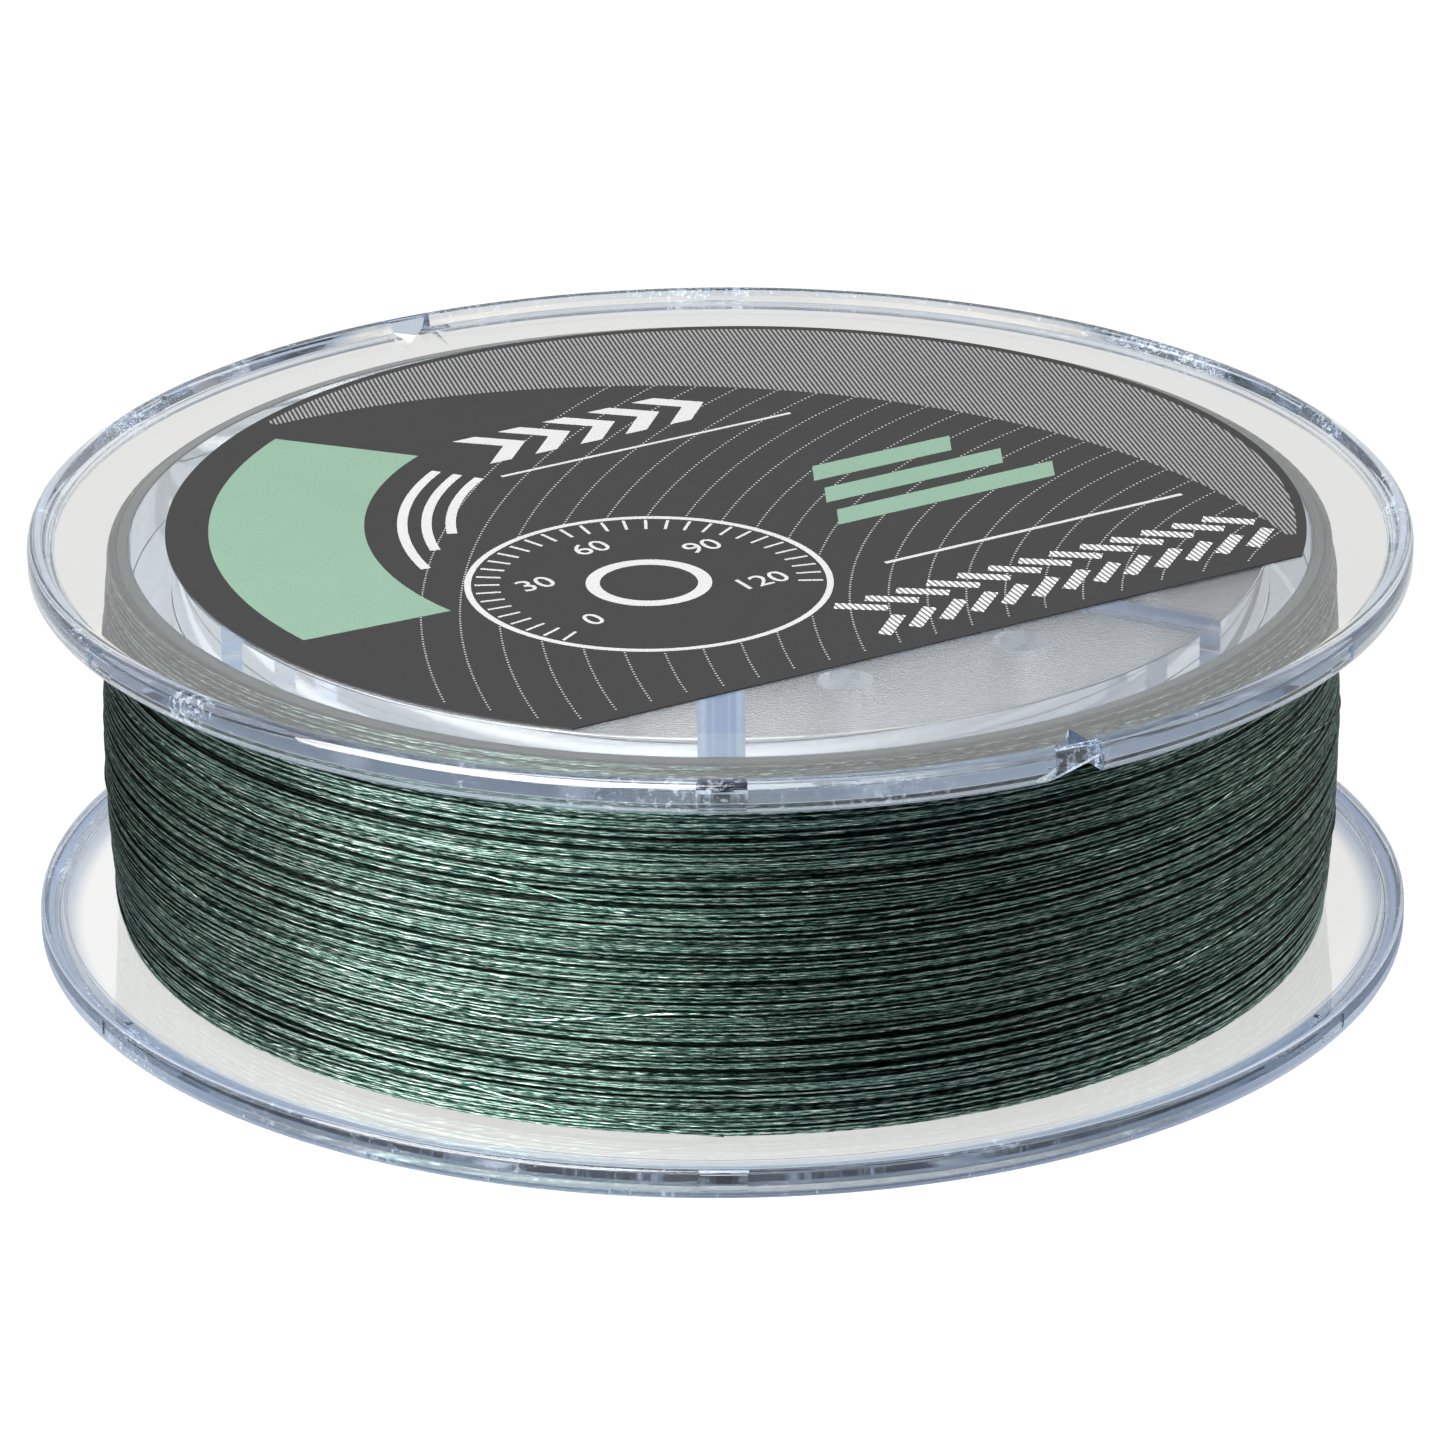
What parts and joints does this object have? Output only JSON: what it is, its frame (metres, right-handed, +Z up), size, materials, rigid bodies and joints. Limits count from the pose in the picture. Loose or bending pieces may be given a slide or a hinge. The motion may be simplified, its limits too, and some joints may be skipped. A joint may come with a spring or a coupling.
{
  "type": "fishing line spool",
  "caption": "Clear plastic filler spool wound with braided fishing line: two flanged halves pegged together, wound line, and a round label with one straight edge.",
  "frame": {"origin": "on the spindle axis, level with the lower rim's crest that the spool rests on", "axes": "+Z up along the spindle axis to the labelled flange, -Y to the front, +X to the right"},
  "size_m": [0.08, 0.08, 0.0248],
  "materials": {
    "clear_plastic": "clear polystyrene, glossy, with grained bays",
    "braid": "woven polyethylene braid, waxy sheen",
    "label_film": "printed satin film"
  },
  "bodies": {
    "root": {"lower_half": "clear_plastic", "upper_half": "clear_plastic", "line_inner_layers": "braid", "line_outer_turns": "braid", "label": "label_film"}
  },
  "joints": []
}
